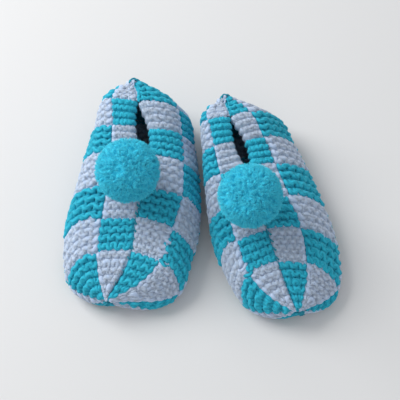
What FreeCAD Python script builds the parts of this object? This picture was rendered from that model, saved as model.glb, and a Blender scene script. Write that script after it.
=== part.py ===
"""A pair of garter-stitch baby booties in two yarns, each with a pompom tied on the instep.

Every bootie is one knitted rectangle, eight checks wide and seven checks long, folded lengthwise.
The back edge is seamed up the heel, the front edge is gathered at the toe, and the two long edges
are seamed over the instep as far as the slit that the foot goes in by. The checks of each panel
are solids of their own, grouped by panel and by yarn. Millimetres, toes towards -Y, +Z up, with
the origin at the middle of the pair on the surface that it stands on.
"""
import FreeCAD
import Part
import math
import os

Vector = FreeCAD.Vector

FABRIC = 3.6            # thickness of the garter fabric
YARN = 1.5              # thickness of the sewing yarn in the seams and the gather
CHECK_GAP = 0.010       # half the gap between checks, as a share of a control step
HEEL_START = 0.08       # the fabric stops this share of a check short of the heel line
FLAT = 0.22             # the sole is flat where it would come within this height of what it rests on

# Stations from the heel seam to the toe gather, one check apart.
SOLE_Y = (45.5, 42.0, 27.5, 10.0, -11.5, -33.0, -51.5, -56.5)
TOP_Y = (47.0, 35.5, 23.5, 11.0, -4.0, -19.0, -33.5, -58.5)
HALF_WIDTH = (1.0, 18.3, 22.2, 25.5, 28.0, 28.0, 20.5, 3.4)
TOP_Z = (36.5, 37.0, 33.0, 29.8, 26.9, 24.0, 20.5, 14.0)
SOLE_Z = (8.0, 1.2, 0.0, 0.0, 0.0, 0.0, 0.6, 7.0)
LIP_GAP = 1.3           # half the gap that the sewing yarn fills where the lips are seamed
FORWARD = 1.5           # how far the toe bulges in front of the gather
THICKEN = 0.10          # and how much thicker through it gets there

# Where the columns of checks meet round the girth, in control steps from one lip under the sole to
# the other. The flap columns at both ends also get wider or narrower along the bootie: "flaps" gives
# the width of each one at the heel and at the toe, and "over" what the first two checks add to it.
# "heel" and "toe" say how far the bootie bulges to its low and its high side at each end.
COLUMN_EDGES = (0.0, 1.0, 2.0, 2.88, 4.0, 5.12, 6.0, 7.0, 8.0)
SLIT_HEEL = (0.75, 1.85)
SLIT_TOE = (2.25, 3.5)
SEAM_START = 3.6        # station at which the instep seam closes the slit

POMPOM_R = 14.5
KNOT_R = 1.3
KNOT_GAP = 0.4          # knot to fabric, and knot to the pompom's recess
POMPOM_RISE = 0.9       # bottom of the pompom above the centre of the knot
BAND_R = 2.6            # ring of yarn that binds the middle of the pompom
BAND_YARN = 1.0
FLOP = 22.0             # the pompom has fallen this far over to -X, degrees
NOD = 8.0               # and this far towards the toe

BOOTIES = {
    "left": dict(x=-30.3, y=0.4, turn=-5.5, lean=-0.27, bend=-0.0020, skew=7.5, wide=1.07,
                 slit_half=4.8, knot_at=3.95, panels=("outer", "inner"),
                 flaps=((0.58, 0.55), (1.50, 0.62)), over=(0.45, 0.0), heel=(2.2, 3.5), toe=(2.0, 8.5)),
    "right": dict(x=30.5, y=-4.0, turn=11.7, lean=-0.38, bend=0.0009, skew=1.4, wide=0.96,
                  slit_half=4.4, knot_at=4.35, panels=("inner", "outer"),
                  flaps=((0.60, 0.75), (0.50, 0.78)), over=(0.45, 0.40), heel=(4.5, -0.5), toe=(4.5, 1.5)),
}


def girth_points(b, j):
    """Nine control points round the girth at station j, from the -X lip under the sole to the +X lip."""
    base = SOLE_Z[j] + FABRIC / 2
    if j == 0:
        half = [(0.0, SOLE_Y[j], base * 0.4), (1.0, SOLE_Y[j] + 4.0, base),
                (1.2, TOP_Y[j] + 2.0, base + 12.0), (1.1, TOP_Y[j] + 0.5, base + 23.5),
                (1.2, TOP_Y[j] - 2.0, TOP_Z[j])]
    elif j == len(SOLE_Y) - 1:
        mid = (TOP_Z[j] + base) / 2
        half = []
        for i in range(5):
            a = 0.90 * math.pi * i / 4
            half.append((HALF_WIDTH[j] * math.sin(a), SOLE_Y[j], mid - HALF_WIDTH[j] * math.cos(a)))
    else:
        w = HALF_WIDTH[j] * b["wide"]
        run = TOP_Y[j] - SOLE_Y[j]
        rise = TOP_Z[j] - base
        half = [(0.0, SOLE_Y[j], base), (0.55 * w, SOLE_Y[j], base),
                (w, SOLE_Y[j] + 0.25 * run, base + 0.30 * rise),
                (0.74 * w, SOLE_Y[j] + 0.75 * run, base + 0.86 * rise),
                (LIP_GAP, TOP_Y[j], TOP_Z[j])]
    ring = [Vector(-x, y, z) for x, y, z in reversed(half)] + [Vector(x, y, z) for x, y, z in half[1:]]
    sway = b["skew"] * math.sin(math.pi * j / 7)
    for i, share in ((0, 1.0), (1, 0.4), (7, 0.4), (8, 1.0)):
        ring[i].x += sway * share
    return ring


def smooth(points, t):
    """Point at t on the smooth curve through the points, one step per point."""
    last = len(points) - 1
    i = min(max(int(math.floor(t)), 0), last - 1)
    f = t - i
    p1 = points[i]
    p2 = points[i + 1]
    p0 = points[i - 1] if i > 0 else p1 * 2 - p2
    p3 = points[i + 2] if i + 2 <= last else p2 * 2 - p1
    return (p1 * 2 + (p2 - p0) * f + (p0 * 2 - p1 * 5 + p2 * 4 - p3) * (f * f)
            + (p1 * 3 - p0 - p2 * 3 + p3) * (f * f * f)) * 0.5


def swell(v, start, end):
    """Smooth rise and fall between two stations, highest a third of the way back from the end."""
    t = min(max((v - start) / (end - start), 0.0), 1.0)
    return 6.75 * t * t * (1 - t)


def step(v, start, end):
    """Smooth step from 0 to 1 between two stations."""
    t = min(max((v - start) / (end - start), 0.0), 1.0)
    return t * t * (3 - 2 * t)


def part_lips(b, p, s, v):
    """Draw the two lips of the slit apart."""
    share = max(0.0, 1.0 - min(s, 8.0 - s) / 1.2) ** 2
    gap = step(v, *SLIT_HEEL) * (1.0 - step(v, *SLIT_TOE)) * (b["slit_half"] - LIP_GAP)
    return Vector(p.x + gap * share * (-1 if s < 4 else 1), p.y, p.z)


def fill_out(b, p, v):
    """Round out the heel and the toe, where the ends of the fabric are drawn together."""
    toe = swell(v, 5.0, 7.0)
    heel = swell(v, 1.3, 0.0)
    middle_z = (TOP_Z[7] + SOLE_Z[7] + FABRIC / 2) / 2
    side = 0 if p.x < 0 else 1
    wider = p.x / (abs(p.x) + 4.0) * (b["heel"][side] * heel + b["toe"][side] * toe)
    return Vector(p.x + wider, p.y - FORWARD * toe, middle_z + (p.z - middle_z) * (1 + THICKEN * toe))


def lay(b, p):
    """Place a point of the bootie's own frame in the pair's, with the sole flat on what it rests on."""
    z = max(p.z, FABRIC / 2)
    x = p.x + b["lean"] * z
    if p.y < 0:
        x += b["bend"] * p.y * p.y
    a = math.radians(b["turn"])
    return Vector(x * math.cos(a) - p.y * math.sin(a) + b["x"],
                  x * math.sin(a) + p.y * math.cos(a) + b["y"], z)


def middle(b, s, v):
    """Point on the middle surface of the fabric: s round the girth, v from heel to toe."""
    across = [smooth(ring, s) for ring in b["rings"]]
    return lay(b, fill_out(b, part_lips(b, smooth(across, v), s, v), v))


def normal(b, s, v):
    """Unit normal of the fabric, pointing out of the bootie."""
    h = 0.02
    round_girth = middle(b, min(s + h, 8.0), v) - middle(b, max(s - h, 0.0), v)
    to_toe = middle(b, s, min(v + h, 7.0)) - middle(b, s, max(v - h, 0.0))
    n = round_girth.cross(to_toe)
    n.normalize()
    return n


def spread(lo, hi, count):
    return [lo + (hi - lo) * i / (count - 1) for i in range(count)]


def skin(rows):
    """Smooth face through a grid of points."""
    surface = Part.BSplineSurface()
    surface.interpolate(rows)
    return surface.toShape()


def apart(e, f):
    """How far the ends of one edge are from the nearest ends of another, added up."""
    return sum(min((p.Point - q.Point).Length for q in f.Vertexes) for p in e.Vertexes)


def column_edge(b, i, v):
    """Where column i of the checks starts round the girth at station v."""
    if i not in (1, 7):
        return COLUMN_EDGES[i]
    heel, toe = b["flaps"][i // 7]
    width = heel + (toe - heel) * v / 7 + b["over"][i // 7] * max(0.0, 1.0 - v / 2) ** 2
    return width if i == 1 else 8.0 - width


def check_solid(b, column, v0, v1):
    """One check of the fabric: an outer and an inner skin, closed along the four edges."""
    g = CHECK_GAP
    outside = []
    inside = []
    for v in spread(max(v0 + g, HEEL_START), v1 - g, 5):
        s0 = column_edge(b, column, v) + g
        s1 = column_edge(b, column + 1, v) - g
        spots = [(middle(b, s, v), normal(b, s, v)) for s in spread(s0, s1, 5)]
        outside.append([p + n * (FABRIC / 2) for p, n in spots])
        inside.append([p - n * (FABRIC / 2) for p, n in spots])
    outer = skin(outside)
    inner = skin(inside)
    faces = [outer, inner]
    for e in outer.OuterWire.Edges:
        partner = min(inner.OuterWire.Edges, key=lambda f: apart(e, f))
        faces.append(Part.makeRuledSurface(e, partner))
    shell = Part.makeShell(faces)
    shell.sewShape()
    solid = Part.Solid(shell)
    if solid.Volume < 0:
        solid.reverse()
    return solid


def panel_checks(b, column, colour):
    """The checks of one column in one yarn. Teal and white change places from check to check."""
    wanted = 0 if colour == "teal" else 1
    checks = [check_solid(b, column, row - 1, row) for row in range(1, 8) if (column + row) % 2 == wanted]
    if column in (3, 4) and (column + 1) % 2 == wanted:
        checks[:1] = checks[0].cut(heel_side(b, column)).Solids
    return checks


def heel_side(b, column):
    """Block that fills the far side of the plane through the heel seam, seen from a column of checks."""
    far = 1 if column < 4 else -1
    block = Part.makeBox(60.0, 120.0, 120.0, Vector(-0.03 if far > 0 else -59.97, 0.0, -60.0))
    block.rotate(Vector(0, 0, 0), Vector(0, 1, 0), math.degrees(math.atan(b["lean"])))
    block.rotate(Vector(0, 0, 0), Vector(0, 0, 1), b["turn"])
    block.translate(Vector(b["x"], b["y"], 0))
    return block


def flat_below(solids):
    """The sole's checks, pressed flat where they lie on a surface."""
    slab = Part.makeBox(400.0, 400.0, 20.0, Vector(-200.0, -200.0, FLAT - 20.0))
    pressed = []
    for solid in solids:
        pressed += solid.cut(slab).Solids
    return pressed


def yarn_run(points, r):
    """A sewn yarn: round sections set square to its path and joined smoothly."""
    rings = []
    for i, p in enumerate(points):
        along = points[min(i + 1, len(points) - 1)] - points[max(i - 1, 0)]
        rings.append(Part.Wire(Part.makeCircle(r, p, along)))
    return Part.makeLoft(rings, True, False)


def heel_seam(b):
    """Yarn up the middle of the heel, between the two halves of the back edge."""
    points = []
    for s in spread(0.05, 3.0, 8):
        mid = (middle(b, s, 0.0) + middle(b, 8.0 - s, 0.0)) * 0.5
        points.append(mid + Vector(0, 0.4, 0))
    return yarn_run(points, YARN / 2)


def instep_seam(b):
    """Yarn along the instep, between the two flaps, from the slit to the toe."""
    points = []
    for v in spread(SEAM_START, 6.75, 9):
        mid = (middle(b, 0.0, v) + middle(b, 8.0, v)) * 0.5
        points.append(mid + Vector(0, 0, 0.4))
    return yarn_run(points, YARN / 2)


def toe_gather(b):
    """Drawn-up ring of yarn that closes the toe, in front of the edge that it gathers."""
    ring = [middle(b, s, 7.0) for s in spread(0.0, 7.5, 16)]
    centre = ring[0] * 0
    for p in ring:
        centre += p * (1.0 / len(ring))
    front = middle(b, 4.0, 7.0) - middle(b, 4.0, 6.97)
    back = middle(b, 0.0, 7.0) - middle(b, 0.0, 6.97)
    ahead = Vector(front.x + back.x, -abs(front.y) - abs(back.y), 0.0)
    ahead.normalize()
    return Part.makeTorus(HALF_WIDTH[7] - 0.6, YARN / 2, centre + ahead * (YARN / 2 + FABRIC / 2 + 0.9), ahead)


def knot_centre(b):
    """Middle of the knot that ties the pompom to the end of the instep seam."""
    v = b["knot_at"]
    edge = (middle(b, 0.0, v) + middle(b, 8.0, v)) * 0.5
    return edge + Vector(0, 0, FABRIC / 2 + KNOT_GAP + KNOT_R)


def pompom_pieces(b):
    """Knot, pompom and the band inside it, fallen over to one side as they lie."""
    pivot = knot_centre(b)
    reach = POMPOM_R + POMPOM_RISE
    centre = pivot + Vector(0, 0, reach)
    ball = Part.makeSphere(POMPOM_R, centre)
    tail = Part.makeCylinder(BAND_YARN, reach - BAND_R, pivot)
    band = Part.makeTorus(BAND_R, BAND_YARN, centre, Vector(1, 0, 0)).fuse(tail)
    recess = Part.makeSphere(KNOT_R + KNOT_GAP, pivot)
    ball = ball.cut([recess, band])
    band = band.cut(recess)
    for piece in (ball, band):
        piece.rotate(pivot, Vector(1, 0, 0), NOD)
        piece.rotate(pivot, Vector(0, 1, 0), -FLOP)
    return {"pompom_knot": Part.makeSphere(KNOT_R, pivot), "pompom": ball, "pompom_band": band}


def bootie_pieces(name, b):
    """Every piece of one bootie, by node name."""
    b["rings"] = [girth_points(b, j) for j in range(8)]
    low_side, high_side = b["panels"]
    panels = {low_side + "_flap": (0,), low_side + "_side": (1,), "sole": (2, 3, 4, 5),
              high_side + "_side": (6,), high_side + "_flap": (7,)}
    pieces = {}
    for panel, columns in panels.items():
        for colour in ("teal", "white"):
            checks = []
            for column in columns:
                checks += panel_checks(b, column, colour)
            if panel == "sole":
                checks = flat_below(checks)
            pieces[panel + "_" + colour] = Part.makeCompound(checks)
    pieces["heel_seam"] = heel_seam(b)
    pieces["instep_seam"] = instep_seam(b)
    pieces["toe_gather"] = toe_gather(b)
    pieces.update(pompom_pieces(b))
    return {name + "_" + key: shape for key, shape in pieces.items()}


def main():
    pieces = {}
    for name, b in BOOTIES.items():
        pieces.update(bootie_pieces(name, b))
    box = Part.makeCompound(list(pieces.values())).optimalBoundingBox(False)
    shift = Vector(-(box.XMin + box.XMax) / 2, -(box.YMin + box.YMax) / 2, -FLAT)
    os.makedirs("parts", exist_ok=True)
    for node, shape in pieces.items():
        shape.translate(shift)
        shape.exportStep("parts/" + node + ".step")
    print("size", [round(v, 2) for v in (box.XLength, box.YLength, box.ZLength)])
    print("shift", [round(v, 3) for v in shift])
    for name, b in BOOTIES.items():
        print(name, "knot", [round(v, 3) for v in knot_centre(b) + shift])


if __name__ == "__main__":
    main()
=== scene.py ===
"""The looks of a pair of garter-stitch baby booties with pompoms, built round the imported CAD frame."""
import bpy
import math
import numpy as np
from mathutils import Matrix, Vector


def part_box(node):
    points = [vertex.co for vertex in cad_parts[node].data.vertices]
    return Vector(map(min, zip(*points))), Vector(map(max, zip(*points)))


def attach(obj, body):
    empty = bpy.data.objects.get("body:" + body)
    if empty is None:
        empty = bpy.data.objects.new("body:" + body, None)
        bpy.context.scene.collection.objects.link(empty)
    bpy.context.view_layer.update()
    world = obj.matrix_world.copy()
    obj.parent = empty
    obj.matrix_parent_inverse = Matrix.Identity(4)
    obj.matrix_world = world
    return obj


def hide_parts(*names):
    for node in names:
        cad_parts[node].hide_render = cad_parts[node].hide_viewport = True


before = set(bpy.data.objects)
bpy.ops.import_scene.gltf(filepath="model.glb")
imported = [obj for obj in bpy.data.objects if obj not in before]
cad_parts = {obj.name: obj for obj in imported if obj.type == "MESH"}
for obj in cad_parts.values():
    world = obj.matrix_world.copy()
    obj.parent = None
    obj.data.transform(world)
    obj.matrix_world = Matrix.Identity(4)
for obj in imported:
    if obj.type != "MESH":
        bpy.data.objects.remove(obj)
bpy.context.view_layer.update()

# ---------------------------------------------------------------- the fabric's middle surface

FABRIC = 0.0036
SOLE_Y = (45.5, 42.0, 27.5, 10.0, -11.5, -33.0, -51.5, -56.5)
TOP_Y = (47.0, 35.5, 23.5, 11.0, -4.0, -19.0, -33.5, -58.5)
HALF_WIDTH = (1.0, 18.3, 22.2, 25.5, 28.0, 28.0, 20.5, 3.4)
TOP_Z = (36.5, 37.0, 33.0, 29.8, 26.9, 24.0, 20.5, 14.0)
SOLE_Z = (8.0, 1.2, 0.0, 0.0, 0.0, 0.0, 0.6, 7.0)
SLIT_HEEL = (0.75, 1.85)
SLIT_TOE = (2.25, 3.5)
LIP_GAP = 0.5
COLUMN_EDGES = (0.0, 1.0, 2.0, 2.88, 4.0, 5.12, 6.0, 7.0, 8.0)
STITCHES = (4, 5, 4, 4, 4, 4, 5, 4)
ROWS = (8, 8, 8, 8, 8, 8, 12)                # rows along the checks, heel to toe: two to a ridge
FORWARD, THICKEN = 1.5, 0.10                 # how the toe bulges in front of the last full check
SEAM_START = 3.6
ORIGIN = np.array([2.841, 6.082, -0.22])

BOOTIES = {
    "left": dict(x=-30.3, y=0.4, turn=-5.5, lean=-0.27, bend=-0.0020, skew=7.5, wide=1.07,
                 slit_half=4.8, knot_at=3.95, panels=("outer", "inner"),
                 flaps=((0.58, 0.55), (1.50, 0.62)), over=(0.45, 0.0), heel=(2.2, 3.5), toe=(2.0, 8.5), seed=11,
                 loose=(("white", 30.1, 40.2, 0.3), ("white", 30.0, 42.4, -0.2), ("teal", 29.5, 43.8, 0.4),
                        ("white", 30.2, 45.3, 0.2), ("teal", 29.6, 47.4, -0.3))),
    "right": dict(x=30.5, y=-4.0, turn=11.7, lean=-0.38, bend=0.0009, skew=1.4, wide=0.96,
                  slit_half=4.4, knot_at=4.35, panels=("inner", "outer"),
                  flaps=((0.60, 0.75), (0.50, 0.78)), over=(0.45, 0.40), heel=(4.5, -0.5), toe=(4.5, 1.5),
                  seed=23,
                  loose=(("white", 4.3, 45.4, 0.2), ("teal", 4.2, 46.9, -0.2))),
}


def girth_points(b, j):
    """Nine control points round the girth at station j, in mm."""
    base = SOLE_Z[j] + FABRIC * 500
    if j == 0:
        half = [(0.0, SOLE_Y[j], base * 0.4), (1.0, SOLE_Y[j] + 4.0, base),
                (1.2, TOP_Y[j] + 2.0, base + 12.0), (1.1, TOP_Y[j] + 0.5, base + 23.5),
                (1.2, TOP_Y[j] - 2.0, TOP_Z[j])]
    elif j == 7:
        mid = (TOP_Z[j] + base) / 2
        half = [(HALF_WIDTH[j] * math.sin(a), SOLE_Y[j], mid - HALF_WIDTH[j] * math.cos(a))
                for a in (0.97 * math.pi * i / 4 for i in range(5))]
    else:
        w = HALF_WIDTH[j] * b["wide"]
        run = TOP_Y[j] - SOLE_Y[j]
        rise = TOP_Z[j] - base
        half = [(0.0, SOLE_Y[j], base), (0.55 * w, SOLE_Y[j], base),
                (w, SOLE_Y[j] + 0.25 * run, base + 0.30 * rise),
                (0.74 * w, SOLE_Y[j] + 0.75 * run, base + 0.86 * rise),
                (LIP_GAP, TOP_Y[j], TOP_Z[j])]
    ring = np.array([(-x, y, z) for x, y, z in reversed(half)] + half[1:])
    sway = b["skew"] * math.sin(math.pi * j / 7)
    ring[[0, 1, 7, 8], 0] += sway * np.array([1.0, 0.4, 0.4, 1.0])
    return ring


def swell(v, start, end):
    """Smooth rise and fall between two stations, highest a third of the way back from the end."""
    t = np.clip((v - start) / (end - start), 0, 1)
    return 6.75 * t * t * (1 - t)


def step(v, start, end):
    """Smooth step from 0 to 1 between two stations."""
    t = np.clip((v - start) / (end - start), 0, 1)
    return t * t * (3 - 2 * t)


def weights(t, n):
    """First of four neighbours and their Catmull-Rom weights, for points with one more at each end."""
    i = np.clip(np.floor(t).astype(int), 0, n - 2)
    f = t - i
    shares = (-f + 2 * f**2 - f**3, 2 - 5 * f**2 + 3 * f**3, f + 4 * f**2 - 3 * f**3, f**3 - f**2)
    return i, 0.5 * np.stack(shares, -1)


class Surface:
    """Middle surface of one bootie's fabric, in metres. k counts stitches round and m rows to the toe."""

    AROUND = sum(STITCHES)
    LENGTH = sum(ROWS)

    def __init__(self, b):
        self.b = b
        g = np.array([girth_points(b, j) for j in range(8)])
        g = np.concatenate([2 * g[:, :1] - g[:, 1:2], g, 2 * g[:, -1:] - g[:, -2:-1]], 1)
        self.grid = np.concatenate([2 * g[:1] - g[1:2], g, 2 * g[-1:] - g[-2:-1]], 0)
        self.columns = np.concatenate([[0], np.cumsum(STITCHES)])
        self.blocks = np.concatenate([[0], np.cumsum(ROWS)])
        ms = np.linspace(0, self.LENGTH, self.LENGTH * 2 + 1)
        vs = self.v_at(ms)
        self.s_of = np.zeros((self.AROUND * 2 + 1, len(vs)))
        for c, per in enumerate(STITCHES):
            lo, hi = self.edge(c, vs), self.edge(c + 1, vs)
            t = np.linspace(0, 1, 41)[:, None]
            s = lo + (hi - lo) * t
            p = self.middle(s, vs + 0 * s)
            lengths = np.linalg.norm(np.diff(p, axis=0), axis=-1)
            run = np.concatenate([np.zeros((1, len(vs))), np.cumsum(lengths, 0)])
            for j in range(len(vs)):
                want = np.linspace(0, run[-1, j], per * 2 + 1)
                at = self.columns[c] * 2
                self.s_of[at:at + per * 2 + 1, j] = np.interp(want, run[:, j], s[:, j])

    def edge(self, i, v):
        """Where column i of the checks starts round the girth."""
        if i not in (1, 7):
            return COLUMN_EDGES[i] + 0 * v
        heel, toe = self.b["flaps"][i // 7]
        width = heel + (toe - heel) * v / 7 + self.b["over"][i // 7] * np.maximum(0, 1 - v / 2) ** 2
        return width if i == 1 else 8.0 - width

    def v_at(self, m):
        return np.interp(m, self.blocks, np.arange(8.0)) + (m - np.clip(m, 0, self.LENGTH)) * 0.1

    def middle(self, s, v):
        b = self.b
        i, ws = weights(np.asarray(s, float), 9)
        j, wv = weights(np.asarray(v, float), 8)
        p = np.zeros(np.shape(s) + (3,))
        for a in range(4):
            for c in range(4):
                p += (wv[..., a] * ws[..., c])[..., None] * self.grid[j + a, i + c]
        s, v = np.asarray(s, float), np.asarray(v, float)
        share = np.clip(1.0 - np.minimum(s, 8.0 - s) / 1.2, 0, 1.3) ** 2
        gap = step(v, *SLIT_HEEL) * (1.0 - step(v, *SLIT_TOE)) * (b["slit_half"] - LIP_GAP)
        p[..., 0] += gap * share * np.where(s < 4, -1.0, 1.0)
        toe, heel = swell(v, 5.0, 7.0), swell(v, 1.3, 0.0)
        middle_z = (TOP_Z[7] + SOLE_Z[7] + FABRIC * 500) / 2
        z = np.maximum(middle_z + (p[..., 2] - middle_z) * (1 + THICKEN * toe), FABRIC * 500)
        y = p[..., 1] - FORWARD * toe
        x = p[..., 0]
        low, high = (b["heel"][i] * heel + b["toe"][i] * toe for i in (0, 1))
        x = x + x / (np.abs(x) + 4.0) * np.where(x < 0, low, high)
        x = x + b["lean"] * z + np.where(y < 0, b["bend"] * y ** 2, 0)
        cos, sin = math.cos(math.radians(b["turn"])), math.sin(math.radians(b["turn"]))
        out = np.stack([x * cos - y * sin + b["x"], x * sin + y * cos + b["y"], z], -1)
        return (out + ORIGIN) * 0.001

    def s_at(self, k, m):
        """Surface coordinate s of stitch k in row m, evenly spaced along the girth of each column."""
        kk = np.clip(k * 2, 0, self.AROUND * 2 - 1e-6)
        mm = np.clip(m * 2, 0, self.LENGTH * 2 - 1e-6)
        i, j = kk.astype(int), mm.astype(int)
        f, g = kk - i, mm - j
        t = self.s_of
        s = (t[i, j] * (1 - f) + t[i + 1, j] * f) * (1 - g) + (t[i, j + 1] * (1 - f) + t[i + 1, j + 1] * f) * g
        return s + (k - np.clip(k, 0, self.AROUND)) * 0.15

    def at(self, k, m):
        """Point, outward normal, stitch width and row height."""
        h = 0.05
        k, m = np.broadcast_arrays(k, m)
        v = self.v_at(m)
        s = self.s_at(k, m)
        p = self.middle(s, v)
        across = self.middle(s + h, v) - self.middle(s - h, v)
        along = self.middle(s, v + h) - self.middle(s, v - h)
        n = np.cross(across, along)
        n /= np.maximum(np.linalg.norm(n, axis=-1, keepdims=True), 1e-12)
        stitch = self.middle(self.s_at(k + 0.5, m), v) - self.middle(self.s_at(k - 0.5, m), v)
        row = self.middle(s, self.v_at(m + 0.5)) - self.middle(s, self.v_at(m - 0.5))
        wide, tall = np.linalg.norm(stitch, axis=-1), np.linalg.norm(row, axis=-1)
        return p, n, wide, tall


# ---------------------------------------------------------------- yarn as tubes

YARN_SHARE = 0.8         # part of the texture sheet kept for yarns; the rest is for the linings


class Yarns:
    """Collects yarn paths of many lengths and turns them into one mesh of closed tubes."""

    def __init__(self):
        self.sets = []

    def add(self, points, normals, radius, sides=7):
        points = np.asarray(points, float)
        if points.ndim == 2:
            points, normals, radius = points[None], np.asarray(normals)[None], np.asarray(radius)[None]
        normals = np.broadcast_to(normals, points.shape)
        radius = np.broadcast_to(radius, points.shape[:2])
        self.sets.append((points, normals, radius, sides))

    def mesh(self, name, material, floor=0.0):
        strips = sum(len(p) for p, _, _, _ in self.sets)
        columns = max(1, int(round(math.sqrt(strips / 12.0))))
        lines = math.ceil(strips / columns)
        verts, faces, uvs, plys = [], [], [], []
        base = 0
        strip = 0
        rng = np.random.default_rng(5)
        for points, normals, radius, sides in self.sets:
            r, n, _ = points.shape
            t = np.gradient(points, axis=1)
            t /= np.maximum(np.linalg.norm(t, axis=-1, keepdims=True), 1e-12)
            side = np.cross(t, normals)
            side /= np.maximum(np.linalg.norm(side, axis=-1, keepdims=True), 1e-9)
            up = np.cross(side, t)
            a = np.arange(sides) * 2 * math.pi / sides
            ring = (points[:, :, None] + radius[:, :, None, None]
                    * (np.cos(a)[:, None] * side[:, :, None] + np.sin(a)[:, None] * up[:, :, None]))
            ring[..., 2] = np.maximum(ring[..., 2], floor)
            verts.append(ring.reshape(-1, 3))
            lengths = np.linalg.norm(np.diff(points, axis=1), axis=-1)
            run = np.concatenate([np.zeros((r, 1)), np.cumsum(lengths, 1)], 1)
            run = run + rng.uniform(0, 1, (r, 1))
            full = (r, n, sides)
            ply = np.stack([np.broadcast_to(v, full) for v in (np.cos(a), np.sin(a), run[:, :, None])], -1)
            plys.append(ply.reshape(-1, 3))
            i = np.arange(r)[:, None, None] * n * sides
            j = np.arange(n - 1)[None, :, None] * sides
            q = np.arange(sides)[None, None, :]
            q2 = (q + 1) % sides
            quad = np.stack([i + j + q, i + j + q2, i + j + sides + q2, i + j + sides + q], -1)
            quad = quad.reshape(-1, 4) + base
            which = strip + np.arange(r)
            cu = (which % columns) / columns
            cv = (which // columns) / lines * YARN_SHARE
            eu, ev = 0.96 / columns, 0.90 / lines * YARN_SHARE
            u0 = cu[:, None, None] + eu * (np.arange(n - 1) / (n - 1))[None, :, None] + 0 * q
            u1 = u0 + eu / (n - 1)
            v0 = cv[:, None, None] + ev * q / sides + 0 * u0
            v1 = v0 + ev / sides
            uv = np.stack([np.stack(c, -1) for c in ((u0, v0), (u0, v1), (u1, v1), (u1, v0))], -2)
            faces.append(quad)
            uvs.append(uv.reshape(-1, 2))
            first = np.arange(r)[:, None] * n * sides + base
            cap0 = first + np.arange(sides)[::-1]
            cap1 = first + (n - 1) * sides + np.arange(sides)
            for cap, end in ((cap0, 0.0), (cap1, 1.0)):
                centre = np.stack([cu + eu * end, cv + ev * 0.5], -1)
                for k in range(1, sides - 1):
                    faces.append(np.stack([cap[:, 0], cap[:, k], cap[:, k + 1], cap[:, k + 1]], -1))
                    uvs.append(np.repeat(centre[:, None], 4, 1).reshape(-1, 2))
            base += r * n * sides
            strip += r
        quads = np.concatenate(faces)
        uv = np.concatenate(uvs).reshape(-1, 4, 2)
        tri = quads[:, 2] == quads[:, 3]
        flat = [quads[~tri].reshape(-1), quads[tri][:, :3].reshape(-1)]
        luv = np.concatenate([uv[~tri].reshape(-1, 2), uv[tri][:, :3].reshape(-1, 2)])
        sizes = np.concatenate([np.full((~tri).sum(), 4), np.full(tri.sum(), 3)])
        return raw(name, np.concatenate(verts), np.concatenate(flat), sizes, luv,
                   np.concatenate(plys), material)


def raw(name, verts, flat, sizes, uvs, ply, material):
    me = bpy.data.meshes.new(name)
    me.vertices.add(len(verts))
    me.vertices.foreach_set("co", verts.astype(np.float32).reshape(-1))
    me.loops.add(len(flat))
    me.loops.foreach_set("vertex_index", flat.astype(np.int32))
    me.polygons.add(len(sizes))
    me.polygons.foreach_set("loop_start", (np.cumsum(sizes) - sizes).astype(np.int32))
    me.polygons.foreach_set("loop_total", sizes.astype(np.int32))
    me.update(calc_edges=True)
    layer = me.uv_layers.new(name="OFBake")
    layer.data.foreach_set("uv", uvs.astype(np.float32).reshape(-1))
    at = me.attributes.new("ply", "FLOAT_VECTOR", "POINT")
    at.data.foreach_set("vector", ply.astype(np.float32).reshape(-1))
    me.polygons.foreach_set("use_smooth", np.full(len(sizes), True))
    me.materials.append(material)
    ob = bpy.data.objects.new(name, me)
    bpy.context.scene.collection.objects.link(ob)
    return ob


# ---------------------------------------------------------------- materials

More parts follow.
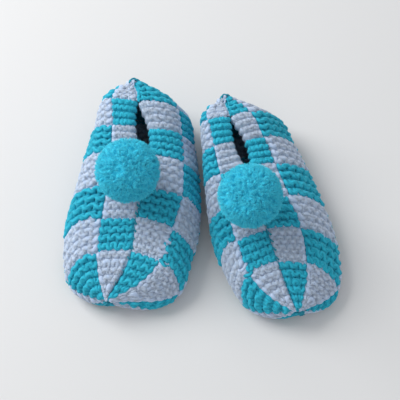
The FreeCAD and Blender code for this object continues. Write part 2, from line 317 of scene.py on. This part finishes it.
def yarn_material(name, dark_fibre_and_groove_shade, body, light, fuzz, plies=3.0, bump=0.5, glow=0.0):
    """Chunky acrylic yarn: twisted plies with painted shade in their grooves and a painted highlight on their
    crowns, streaks along the fibres, slow random changes of tone and a soft sheen.
    """
    mat = bpy.data.materials.new(name)
    mat.use_nodes = True
    nt = mat.node_tree
    nt.nodes.clear()

    def node(kind, **values):
        made = nt.nodes.new(kind)
        for key, value in values.items():
            setattr(made, key, value)
        return made

    def wire(a, b):
        nt.links.new(a, b)

    def maths(operation, a, b=0.0):
        made = node("ShaderNodeMath", operation=operation)
        for socket, value in zip(made.inputs, (a, b)):
            if isinstance(value, (int, float)):
                socket.default_value = value
            else:
                wire(value, socket)
        return made.outputs[0]

    ply = node("ShaderNodeAttribute", attribute_name="ply")
    parts = node("ShaderNodeSeparateXYZ")
    wire(ply.outputs["Vector"], parts.inputs[0])
    angle = maths("ARCTAN2", parts.outputs[1], parts.outputs[0])
    run = parts.outputs[2]
    turn = maths("ADD", maths("MULTIPLY", angle, plies), maths("MULTIPLY", run, 1500.0))
    # The ply groove pattern drives the bump and also the colour: painted shade in the grooves, painted
    # highlight on the crowns.
    groove = maths("MULTIPLY", maths("ADD", maths("SINE", turn), 1.0), 0.5)
    groove = maths("POWER", groove, 0.45)

    along = node("ShaderNodeCombineXYZ")
    wire(maths("MULTIPLY", run, 260.0), along.inputs[0])
    wire(maths("ADD", maths("MULTIPLY", angle, 1.6), maths("MULTIPLY", run, 800.0)), along.inputs[1])
    fibre = node("ShaderNodeTexNoise")
    fibre.inputs["Scale"].default_value = 3.0
    fibre.inputs["Detail"].default_value = 6.0
    fibre.inputs["Roughness"].default_value = 0.65
    wire(along.outputs[0], fibre.inputs["Vector"])

    place = node("ShaderNodeTexCoord")
    slow = node("ShaderNodeTexNoise")
    slow.inputs["Scale"].default_value = 70.0
    slow.inputs["Detail"].default_value = 2.0
    wire(place.outputs["Object"], slow.inputs["Vector"])
    speck = node("ShaderNodeTexNoise")
    speck.inputs["Scale"].default_value = 1400.0
    speck.inputs["Detail"].default_value = 3.0
    wire(place.outputs["Object"], speck.inputs["Vector"])

    streaks = maths("MULTIPLY", fibre.outputs["Fac"], 0.42)
    # Colour mix: ply grooves (painted shade and painted highlight), fibre streaks and slow noise (random tone).
    shade = maths("ADD", maths("MULTIPLY", groove, 0.34),
                  maths("ADD", streaks, maths("MULTIPLY", slow.outputs["Fac"], 0.26)))
    # Dark end of the ramp: dark fibres plus painted shade in the ply grooves. Pale end: pale fibres plus a
    # painted highlight on the ply crowns.
    ramp = node("ShaderNodeValToRGB")
    ramp.color_ramp.elements[0].position = 0.22
    ramp.color_ramp.elements[0].color = (*dark_fibre_and_groove_shade, 1)
    ramp.color_ramp.elements[1].position = 0.86
    ramp.color_ramp.elements[1].color = (*light, 1)
    ramp.color_ramp.elements.new(0.52).color = (*body, 1)
    wire(shade, ramp.inputs["Fac"])

    strands = maths("MULTIPLY", fibre.outputs["Fac"], 0.5)
    height = maths("ADD", maths("MULTIPLY", groove, 0.6),
                   maths("ADD", strands, maths("MULTIPLY", speck.outputs["Fac"], 0.35)))
    relief = node("ShaderNodeBump")
    relief.inputs["Strength"].default_value = bump
    relief.inputs["Distance"].default_value = 0.0004
    wire(height, relief.inputs["Height"])

    shader = node("ShaderNodeBsdfPrincipled")
    wire(ramp.outputs["Color"], shader.inputs["Base Color"])
    wire(relief.outputs["Normal"], shader.inputs["Normal"])
    rough = node("ShaderNodeMapRange")
    rough.inputs["To Min"].default_value = 0.78
    rough.inputs["To Max"].default_value = 0.95
    wire(fibre.outputs["Fac"], rough.inputs["Value"])
    wire(rough.outputs["Result"], shader.inputs["Roughness"])
    shader.inputs["Specular IOR Level"].default_value = 0.25
    shader.inputs["Subsurface Weight"].default_value = glow
    shader.inputs["Subsurface Radius"].default_value = (1.0, 1.0, 1.0)
    shader.inputs["Subsurface Scale"].default_value = 0.0012
    shader.inputs["Sheen Weight"].default_value = 0.35
    shader.inputs["Sheen Roughness"].default_value = 0.55
    shader.inputs["Sheen Tint"].default_value = (*fuzz, 1)
    out = node("ShaderNodeOutputMaterial")
    wire(shader.outputs[0], out.inputs[0])
    return mat


# Each yarn: dark, middle and pale colour. The dark one is also painted shade in the ply grooves, the pale one a
# painted highlight on the ply crowns.
TEAL = yarn_material("teal_yarn", (0.006, 0.230, 0.330), (0.016, 0.390, 0.530),
                     (0.040, 0.490, 0.650), (0.20, 0.62, 0.75))
WHITE = yarn_material("white_yarn", (0.400, 0.500, 0.680), (0.440, 0.540, 0.715),
                      (0.480, 0.580, 0.750), (0.80, 0.85, 0.95), bump=0.3, glow=0.6)
POMPOM = yarn_material("pompom_yarn", (0.022, 0.500, 0.670), (0.045, 0.620, 0.800),
                       (0.085, 0.720, 0.900), (0.25, 0.70, 0.80), bump=0.4)
FLUFF = yarn_material("pompom_fibre", (0.040, 0.620, 0.800), (0.065, 0.700, 0.880),
                      (0.100, 0.770, 0.940), (0.30, 0.75, 0.85), bump=0.1)
SEWING = yarn_material("sewing_yarn", (0.006, 0.140, 0.205), (0.016, 0.270, 0.380),
                       (0.045, 0.400, 0.520), (0.20, 0.60, 0.72))


def floor_material():
    mat = bpy.data.materials.new("floor_paper")
    mat.use_nodes = True
    nt = mat.node_tree
    shader = nt.nodes["Principled BSDF"]
    noise = nt.nodes.new("ShaderNodeTexNoise")
    noise.inputs["Scale"].default_value = 8.0
    ramp = nt.nodes.new("ShaderNodeValToRGB")
    ramp.color_ramp.elements[0].color = (0.690, 0.685, 0.680, 1)
    ramp.color_ramp.elements[1].color = (0.702, 0.697, 0.692, 1)
    nt.links.new(noise.outputs["Fac"], ramp.inputs["Fac"])
    nt.links.new(ramp.outputs["Color"], shader.inputs["Base Color"])
    shader.inputs["Roughness"].default_value = 0.95
    shader.inputs["Specular IOR Level"].default_value = 0.1
    return mat


# ---------------------------------------------------------------- the knitted fabric

YARN_R = 0.00108
LOOP = 0.86              # how far a loop reaches into the next row, in rows
DEPTH = 0.00075          # how far a loop weaves to the front and the back
RIDGE = 0.00050          # how far the ridges stand proud of the furrows
SUNK = 0.00085           # the yarn lies this far inside the middle surface, on average
STEPS = 14               # path points to a stitch
STITCH_W = 0.0038        # a stitch this wide and
ROW_H = 0.0017           # a row this tall take the full yarn; tighter ones take it thinner
ROLL_TURN = 3.4          # how far the edge of a lip rolls under, in radians of its path
ROLL_END = 2.6           # after this much of it the yarn goes straight down


def wobble(x, y, seed):
    """Smooth unevenness of hand knitting, about -1 to 1."""
    rng = np.random.default_rng(seed)
    total = 0
    for _ in range(5):
        fx, fy = rng.uniform(0.25, 1.1, 2)
        total = total + np.sin(fx * x + rng.uniform(0, 6.3)) * np.cos(fy * y + rng.uniform(0, 6.3))
    return total / 3.0


def row_count(surface, column, row):
    """Stitches in a row of a check. Towards the toe the fabric is drawn in, and some sink out of sight."""
    per = STITCHES[column]
    k0 = surface.columns[column]
    edge = [surface.at(np.array(k0 + k), np.array(row + 0.5))[2] for k in (0.5, per - 0.5)]
    return int(np.clip(round(per * float(np.mean(edge)) / 0.0036), 1, per))


def knit_row(surface, column, row, seed, calm):
    """Yarn path of one row of a check. calm below 1 flattens the relief."""
    k0, per = surface.columns[column], STITCHES[column]
    count = row_count(surface, column, row)
    pitch = per / count
    n = count * STEPS + 1
    ends = 0.06
    u = np.linspace(ends, count - ends, n)
    rng = np.random.default_rng(seed * 1000 + row)
    purl = 1.0 if row % 2 == 1 else -1.0
    reach = LOOP * (1 + 0.13 * rng.standard_normal(count + 1))
    amount = reach[np.floor(u + 0.5).astype(int)]
    k = k0 + inset(surface, column, row, (u + 0.14 * np.sin(4 * math.pi * u)) * pitch)
    m = row + 0.5 - amount * np.cos(2 * math.pi * u)
    k = k + 0.14 * wobble(k * 1.3, m, seed + 1)
    m = m + 0.24 * wobble(k, m * 0.9, seed + 2)
    p, nrm, wide, tall = surface.at(k, m)
    small = np.clip(np.minimum(wide * pitch / STITCH_W, tall / ROW_H), 0.45, 1.08)
    relief = DEPTH * purl * np.cos(2 * math.pi * u) + RIDGE * -np.cos(math.pi * m)
    lift = relief * small * calm - SUNK
    near = np.minimum(u, count - u)
    tuck = np.clip(1 - (near - ends) / 0.28, 0, 1)
    inner = (column > 0) * (u < count / 2) + (column < 7) * (u >= count / 2)
    lift = lift - inner * 0.0013 * tuck ** 2
    radius = YARN_R * (1.22 if calm < 0.7 else 1.0) * small * (1 + 0.09 * wobble(k * 2.1, m * 2.3, seed + 3))
    radius = radius * (1 - 0.35 * inner * tuck ** 2)
    return p + nrm * lift[:, None], nrm, radius


def openness(v):
    """How far the two lips stand apart at a station: 0 where they meet, 1 in the middle of the slit."""
    return step(v, SLIT_HEEL[0], SLIT_HEEL[0] + 0.5) * (1.0 - step(v, SLIT_TOE[1] - 0.9, SLIT_TOE[1]))


def inset(surface, column, row, k):
    """The flap's flat part stops short of the lip, to leave room for the edge that rolls under."""
    if column not in (0, 7):
        return k
    per = STITCHES[column]
    near = 0.6 if column == 0 else surface.AROUND - 0.6
    _, _, wide, _ = surface.at(np.array(near), np.array(row + 0.5))
    gone = min(0.0024 * openness(surface.v_at(row + 0.5)) / float(wide), 0.6 * per)
    return (gone if column == 0 else 0.0) + k * (per - gone) / per


def seam_turn(surface, column, row):
    """Edge stitch where two flaps are sewn together: the yarn turns from one row into the next."""
    edge = 0.06 if column == 0 else surface.AROUND - 0.06
    away = -1.0 if column == 0 else 1.0
    t = np.linspace(0, math.pi, 13)
    p, nrm, wide, _ = surface.at(edge + away * 0.12 * np.sin(t), row + 1.0 - 0.75 * np.cos(t))
    small = np.clip(wide / STITCH_W, 0.40, 1.05)
    return p - nrm * (SUNK + 0.0006), nrm, YARN_R * small


def lip_roll(surface, column, row, seed, calm):
    """The edge of a lip rolls under: two more stitches of the row, laid round the turn of the fabric."""
    size = float(openness(surface.v_at(row + 0.5)))
    edge = 0.0 if column == 0 else float(surface.AROUND)
    inward = 1.0 if column == 0 else -1.0
    u = np.linspace(0, 2.5, int(2.5 * STEPS) + 1)
    rng = np.random.default_rng(seed * 77 + row)
    m = row + 0.5 - LOOP * (1 + 0.08 * rng.standard_normal()) * np.cos(2 * math.pi * u)
    p, nrm, _, tall = surface.at(edge + 0 * u, m)
    inner = surface.at(edge + inward * 0.4 + 0 * u, m)[0]
    across = p - inner
    across -= (across * nrm).sum(-1, keepdims=True) * nrm
    across /= np.maximum(np.linalg.norm(across, axis=-1, keepdims=True), 1e-9)
    r = 0.0016 * size + 0.0002
    turn = np.minimum(u / 2.5 * ROLL_TURN, ROLL_END)[:, None]
    under = np.maximum(u / 2.5 * ROLL_TURN - ROLL_END, 0)[:, None] * r
    out = across * np.sin(turn) + nrm * np.cos(turn)
    purl = 1.0 if row % 2 == 1 else -1.0
    relief = (DEPTH * purl * np.cos(2 * math.pi * u) - RIDGE * np.cos(math.pi * m)) * calm * 0.8
    p = p - across * (r + YARN_R * 0.9) - nrm * (SUNK + r) + out * (r + relief[:, None]) - nrm * under
    small = np.clip(tall / ROW_H, 0.5, 1.05) * (1.12 if calm < 0.7 else 1.0)
    return p, out, YARN_R * small * (0.35 + 0.65 * size)


def loose_loop(surface, k, m, tilt):
    """A stitch worked too loose where the two yarns cross: it stands off the fabric."""
    t = np.linspace(0, math.pi, 17)
    p, nrm, _, _ = surface.at(k + 0.62 * np.cos(t) + tilt * np.sin(t), m + 1.2 * np.sin(t))
    return p + nrm * (0.0014 * np.sin(t) - 0.0012)[:, None], nrm, YARN_R * (0.82 + 0.12 * np.sin(2 * t))


def backing(surface, column, block, behind):
    """Inner layer of a check, which closes the fabric behind the loops."""
    k0, m0 = surface.columns[column], surface.blocks[block]
    across = np.linspace(0, STITCHES[column], STITCHES[column] * 5 + 1)
    k = k0 + inset(surface, column, m0 + ROWS[block] / 2, across)
    m = np.linspace(m0, m0 + ROWS[block], ROWS[block] * 3 + 1)
    kk, mm = np.meshgrid(k, m, indexing="ij")
    p, nrm, wide, _ = surface.at(kk, mm)
    relief = 0.00035 * np.cos(math.pi * (mm + 0.35 * np.sin(2 * math.pi * kk)))
    return p - nrm * (SUNK + behind - relief)[..., None]


def knit_panel(surface, side, panel, columns, colour):
    yarns = Yarns()
    seed = BOOTIES[side]["seed"]
    wanted, calm = (0, 0.92) if colour == "teal" else (1, 0.45)
    sheets = []
    for column in columns:
        for block in range(7):
            if (column + block + 1) % 2 != wanted:
                continue
            m0 = surface.blocks[block]
            for row in range(m0, m0 + ROWS[block]):
                yarns.add(*knit_row(surface, column, row, seed + column * 10 + block, calm))
                if column in (0, 7) and openness(surface.v_at(row + 0.5)) > 0.05:
                    yarns.add(*lip_roll(surface, column, row, seed, calm))
                elif column in (0, 7) and (row - m0) % 2 == 0:
                    yarns.add(*seam_turn(surface, column, row))
            sheets.append(backing(surface, column, block, 0.0005 if colour == "teal" else 0.0002))
    for yarn, k, m, tilt in BOOTIES[side]["loose"]:
        if yarn == colour and surface.columns[columns[0]] <= k < surface.columns[columns[-1] + 1]:
            yarns.add(*loose_loop(surface, k, m, tilt))
    material = TEAL if colour == "teal" else WHITE
    ob = yarns.mesh(f"{side}_{panel}_{colour}_knit", material)
    join(ob, lining_mesh(f"{side}_{panel}_{colour}_inner", sheets, material))
    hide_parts(f"{side}_{panel}_{colour}")
    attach(ob, side + "_bootie")


def lining_mesh(name, sheets, material):
    verts, quads, uvs, ply = [], [], [], []
    base = 0
    for i, g in enumerate(sheets):
        a, b = g.shape[:2]
        verts.append(g.reshape(-1, 3))
        idx = np.arange(a * b).reshape(a, b) + base
        q = np.stack([idx[:-1, :-1], idx[1:, :-1], idx[1:, 1:], idx[:-1, 1:]], -1).reshape(-1, 4)
        quads.append(q)
        u = np.broadcast_to(((i + 0.04 + 0.92 * np.linspace(0, 1, a)) / len(sheets))[:, None], (a, b))
        v = np.broadcast_to((YARN_SHARE + (1 - YARN_SHARE) * np.linspace(0.06, 0.98, b))[None], (a, b))
        uvs.append(np.stack([u, v], -1).reshape(-1, 2)[(q - base).reshape(-1)])
        ply.append(np.stack([np.ones(a * b), np.zeros(a * b), g[..., 0].reshape(-1)], -1))
        base += a * b
    q = np.concatenate(quads)
    return raw(name, np.concatenate(verts), q.reshape(-1), np.full(len(q), 4), np.concatenate(uvs),
               np.concatenate(ply), material)


def join(a, b):
    """Joins the second object to the first."""
    bpy.ops.object.select_all(action="DESELECT")
    a.select_set(True)
    b.select_set(True)
    bpy.context.view_layer.objects.active = a
    bpy.ops.object.join()


# ---------------------------------------------------------------- sewing

def twisted(yarns, path, normals, r, strands=2, pitch=0.005):
    """A sewing yarn laid up from strands that turn round each other."""
    t = np.gradient(path, axis=0)
    t /= np.linalg.norm(t, axis=1, keepdims=True)
    side = np.cross(t, normals)
    side /= np.linalg.norm(side, axis=1, keepdims=True)
    up = np.cross(side, t)
    run = np.concatenate([[0], np.cumsum(np.linalg.norm(np.diff(path, axis=0), axis=1))])
    for i in range(strands):
        a = run / pitch * 2 * math.pi + i * 2 * math.pi / strands
        off = (np.cos(a)[:, None] * side + np.sin(a)[:, None] * up) * r * 0.5
        yarns.add(path + off, normals, np.full(len(path), r * 0.62), 6)


def fine(points, n):
    """Evenly spaced points on the smooth curve through a few points."""
    points = np.asarray(points, float)
    g = np.concatenate([2 * points[:1] - points[1:2], points, 2 * points[-1:] - points[-2:-1]])
    i, w = weights(np.linspace(0, len(points) - 1, n), len(points))
    return sum(w[:, c, None] * g[i + c] for c in range(4))


def heel_seam(surface, side):
    """Whip stitches that close the back edge."""
    yarns = Yarns()
    for s in np.linspace(0.45, 3.0, 11):
        left = surface.middle(np.array(s), np.array(0.05))
        right = surface.middle(np.array(8 - s - 0.12), np.array(0.05))
        mid = (left + right) / 2
        back = np.array([0, 1.0, 0.15])
        across = (right - left) / max(np.linalg.norm(right - left), 1e-9)
        drop = np.array([0, 0, -0.0007])
        pts = fine([mid - across * 0.0024 - back * 0.0012 - drop,
                    mid - across * 0.0013 + back * 0.0011 - drop * 0.5,
                    mid + across * 0.0013 + back * 0.0011 + drop * 0.5,
                    mid + across * 0.0024 - back * 0.0012 + drop], 16)
        twisted(yarns, pts, np.tile(back, (16, 1)), 0.00055)
    ob = yarns.mesh(side + "_heel_stitches", SEWING)
    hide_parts(side + "_heel_seam")
    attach(ob, side + "_bootie")


def instep_seam(surface, side):
    """Whip stitches that draw the two flaps together, from the slit to the toe."""
    yarns = Yarns()
    up = np.array([0, 0, 1.0])
    for v in np.arange(SEAM_START, 6.85, 0.25):
        size = np.clip((7.1 - v) / 1.6, 0.35, 1.0)
        left = surface.middle(np.array(0.02), np.array(v))
        right = surface.middle(np.array(7.98), np.array(v + 0.12))
        mid = (left + right) / 2
        across = (right - left) / max(np.linalg.norm(right - left), 1e-9)
        mid = mid - up * 0.0006
        pts = fine([mid - across * 0.0018 * size - up * 0.0010, mid - across * 0.0009 * size + up * 0.0009,
                    mid + across * 0.0009 * size + up * 0.0009, mid + across * 0.0018 * size - up * 0.0010], 16)
        twisted(yarns, pts, np.tile(up, (16, 1)), 0.00050 * size)
    ob = yarns.mesh(side + "_instep_stitches", SEWING)
    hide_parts(side + "_instep_seam")
    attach(ob, side + "_bootie")


def toe_gather(surface, side):
    """The drawn-up yarn at the toe: two uneven turns pulled tight."""
    yarns = Yarns()
    lo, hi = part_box(side + "_toe_gather")
    mid = (np.array(lo) + np.array(hi)) / 2 + np.array([0, 0.0024, 0])
    t = np.linspace(0, 4 * math.pi, 90)
    r = 0.0010 + 0.0003 * np.sin(t * 0.5) + 0.0002 * np.sin(5 * t)
    a = math.radians(BOOTIES[side]["turn"])
    ex = np.array([math.cos(a), math.sin(a), 0])
    ey = np.array([math.sin(a), -math.cos(a), 0])
    up = np.array([0, 0, 1.0])
    pts = (mid + (np.cos(t) * r)[:, None] * ex + (np.sin(t) * r)[:, None] * up
           + ((t / 12 - 0.2) * 0.0010)[:, None] * ey)
    twisted(yarns, pts, np.tile(ey, (90, 1)), 0.00050)
    ob = yarns.mesh(side + "_toe_drawstring", SEWING)
    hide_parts(side + "_toe_gather")
    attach(ob, side + "_bootie")


# ---------------------------------------------------------------- pompoms

def spread_over_ball(count, jitter, rng):
    """Directions spread evenly over a sphere, with a direction square to each."""
    i = np.arange(count) + 0.5
    phi = np.arccos(1 - 2 * i / count)
    theta = math.pi * (1 + 5 ** 0.5) * i
    d = np.stack([np.cos(theta) * np.sin(phi), np.sin(theta) * np.sin(phi), np.cos(phi)], -1)
    d += rng.normal(0, jitter, d.shape)
    d /= np.linalg.norm(d, axis=1, keepdims=True)
    spin = np.cross(d, rng.normal(0, 1, d.shape))
    spin /= np.linalg.norm(spin, axis=1, keepdims=True)
    return d, spin


def crease(d, seed, fine):
    """1 along the branching creases between the clumps of a pompom, 0 on the clumps."""
    rng = np.random.default_rng(seed)
    total = 0
    for _ in range(7):
        way = rng.normal(0, 1, 3)
        way *= fine * rng.uniform(0.7, 1.3) / np.linalg.norm(way)
        total = total + np.sin(d @ way + rng.uniform(0, 6.3))
    return np.exp(-(total / 0.42) ** 2)


def pompom(side):
    """A ball of cut yarn ends: soft rounded tufts in clumps, each with the fibres that part at its tip."""
    seed = BOOTIES[side]["seed"] + 100
    rng = np.random.default_rng(seed)
    lo, hi = (np.array(v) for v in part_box(side + "_pompom"))
    centre = (lo + hi) / 2
    radius = (hi[0] - lo[0]) / 2
    count = 520
    d, spin = spread_over_ball(count, 0.040, rng)
    sunk = crease(d, seed, 11.0)
    reach = radius * (rng.uniform(0.950, 0.975, count) - 0.19 * sunk)
    start = 0.66
    t = np.linspace(start, 1.0, 9)
    part = (t - start) / (1 - start)
    bend = rng.uniform(0.0, 0.0018, count)
    p = (centre + d[:, None] * (reach[:, None] * t[None, :])[..., None]
         + spin[:, None] * (bend[:, None] * part[None, :] ** 2)[..., None])
    taper = np.sqrt(np.clip(1.02 - part ** 5, 0.04, 1))
    thick = 0.00106 * rng.uniform(0.80, 1.15, (count, 1)) * taper[None, :]
    yarns = Yarns()
    yarns.add(p, np.broadcast_to(spin[:, None], p.shape), thick, 8)
    ob = yarns.mesh(side + "_pompom_tufts", POMPOM)
    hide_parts(side + "_pompom")
    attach(ob, side + "_pompom")
    proud = sunk < 0.4
    fluff(side, centre, d[proud], reach[proud], rng)
    heart = ball(side + "_pompom_heart", centre, radius * 0.80)
    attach(heart, side + "_pompom")


def fluff(side, centre, tufts, reach, rng):
    """Fine fibres of a pompom: a soft spray out of every tuft, each curling its own way."""
    per = 18
    aim = np.repeat(tufts, per, 0) + rng.normal(0, 0.060, (len(tufts) * per, 3))
    aim /= np.linalg.norm(aim, axis=1, keepdims=True)
    spin = np.cross(aim, rng.normal(0, 1, aim.shape))
    spin /= np.linalg.norm(spin, axis=1, keepdims=True)
    t = np.linspace(0, 1, 5)
    length = rng.uniform(0.0006, 0.0015, len(aim))
    curl = rng.uniform(0.0003, 0.0014, len(aim))
    p = centre + aim[:, None] * (np.repeat(reach, per)[:, None] - 0.0005 + length[:, None] * t)[..., None]
    p = p + spin[:, None] * (curl[:, None] * t ** 1.7)[..., None]
    thin = 0.00013 * (1 - 0.5 * t)[None, :] + np.zeros((len(aim), 1))
    strays = Yarns()
    strays.add(p, np.broadcast_to(spin[:, None], p.shape), thin, 3)
    ob = strays.mesh(side + "_pompom_fluff", FLUFF)
    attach(ob, side + "_pompom")


def ball(name, centre, radius):
    """Uneven dense middle of a pompom, which shows only between the yarn ends."""
    n, m = 40, 24
    th = np.linspace(0, 2 * math.pi, n, endpoint=False)
    ph = np.linspace(0.04, math.pi - 0.04, m)
    tt, pp = np.meshgrid(th, ph, indexing="ij")
    r = radius * (1 + 0.03 * np.sin(9 * tt) * np.sin(11 * pp))
    g = centre + np.stack([np.cos(tt) * np.sin(pp), np.sin(tt) * np.sin(pp), np.cos(pp)], -1) * r[..., None]
    idx = np.arange(n * m).reshape(n, m)
    nxt = np.roll(idx, -1, 0)
    q = np.stack([idx[:, :-1], idx[:, 1:], nxt[:, 1:], nxt[:, :-1]], -1).reshape(-1, 4)
    uv = np.stack([tt / 6.4, pp / 3.2], -1)
    u0, u1 = uv[:, :-1], uv[:, 1:]
    over = np.array([1.0 / n / 6.4 * 2 * math.pi, 0])
    corner = np.stack([u0, u1, u1 + over, u0 + over], -2).reshape(-1, 2)
    ply = np.stack([np.cos(9 * tt), np.sin(9 * tt), pp * 0.02], -1).reshape(-1, 3)
    flat = np.concatenate([q.reshape(-1), idx[::-1, 0], idx[:, -1]])
    sizes = np.concatenate([np.full(len(q), 4), [n, n]])
    corner = np.concatenate([corner, np.full((2 * n, 2), 0.001)])
    return raw(name, g.reshape(-1, 3), flat, sizes, corner, ply, POMPOM)


def knot(side):
    """The knot under the pompom: one yarn tied over and under itself."""
    lo, hi = (np.array(v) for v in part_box(side + "_pompom_knot"))
    mid, r = (lo + hi) / 2, (hi[0] - lo[0]) / 2
    t = np.linspace(0, 2 * math.pi, 97)
    p = np.stack([np.sin(t) + 2 * np.sin(2 * t), np.cos(t) - 2 * np.cos(2 * t), -np.sin(3 * t)], -1) / 3.0
    nrm = p / np.linalg.norm(p, axis=1, keepdims=True)
    yarns = Yarns()
    yarns.add(mid + p * (r * 0.72), nrm, np.full(len(t), r * 0.36), 8)
    ob = yarns.mesh(side + "_pompom_knot_yarn", SEWING)
    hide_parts(side + "_pompom_knot")
    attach(ob, side + "_knot")


# ---------------------------------------------------------------- everything together

for side, b in BOOTIES.items():
    surface = Surface(b)
    low_side, high_side = b["panels"]
    panels = {low_side + "_flap": (0,), low_side + "_side": (1,), "sole": (2, 3, 4, 5),
              high_side + "_side": (6,), high_side + "_flap": (7,)}
    for panel, columns in panels.items():
        for colour in ("teal", "white"):
            knit_panel(surface, side, panel, columns, colour)
    heel_seam(surface, side)
    instep_seam(surface, side)
    toe_gather(surface, side)
    pompom(side)
    knot(side)
    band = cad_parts[side + "_pompom_band"]
    band.data.materials.clear()
    band.data.materials.append(SEWING)


# ---------------------------------------------------------------- floor, light and camera

def stage_and_light():
    bpy.ops.mesh.primitive_grid_add(x_subdivisions=8, y_subdivisions=8, size=4.0, location=(0, 0, 0))
    floor = bpy.context.object
    floor.name = "floor"
    floor.data.materials.append(floor_material())
    world = bpy.context.scene.world or bpy.data.worlds.new("soft_room")
    bpy.context.scene.world = world
    world.use_nodes = True
    back = world.node_tree.nodes["Background"]
    back.inputs["Color"].default_value = (0.93, 0.96, 1.0, 1)
    back.inputs["Strength"].default_value = 0.58
    lights = (("window", (-0.54, 0.28, 0.58), 0.52, 6.1), ("fill", (0.1, -0.6, 0.8), 0.8, 0.6))
    for name, at, size, power in lights:
        light = bpy.data.lights.new(name, "AREA")
        light.size = size
        light.energy = power
        ob = bpy.data.objects.new(name, light)
        ob.location = at
        ob.rotation_mode = "QUATERNION"
        ob.rotation_quaternion = (Vector((0, 0, 0.02)) - Vector(at)).to_track_quat("-Z", "Y")
        bpy.context.scene.collection.objects.link(ob)


def camera():
    elevation = math.radians(65.1)
    target = Vector((-0.00108, 0.00150, 0.01240))
    back = Vector((0, -math.cos(elevation), math.sin(elevation)))
    data = bpy.data.cameras.new("camera")
    data.sensor_width = 36.0
    data.lens = 90.8
    ob = bpy.data.objects.new("camera", data)
    ob.location = target + back * 0.480
    ob.rotation_mode = "QUATERNION"
    ob.rotation_quaternion = (-back).to_track_quat("-Z", "Y")
    data.clip_start, data.clip_end = 0.01, 20.0
    bpy.context.scene.collection.objects.link(ob)
    bpy.context.scene.camera = ob


stage_and_light()
camera()
bpy.context.scene.view_settings.view_transform = "Standard"
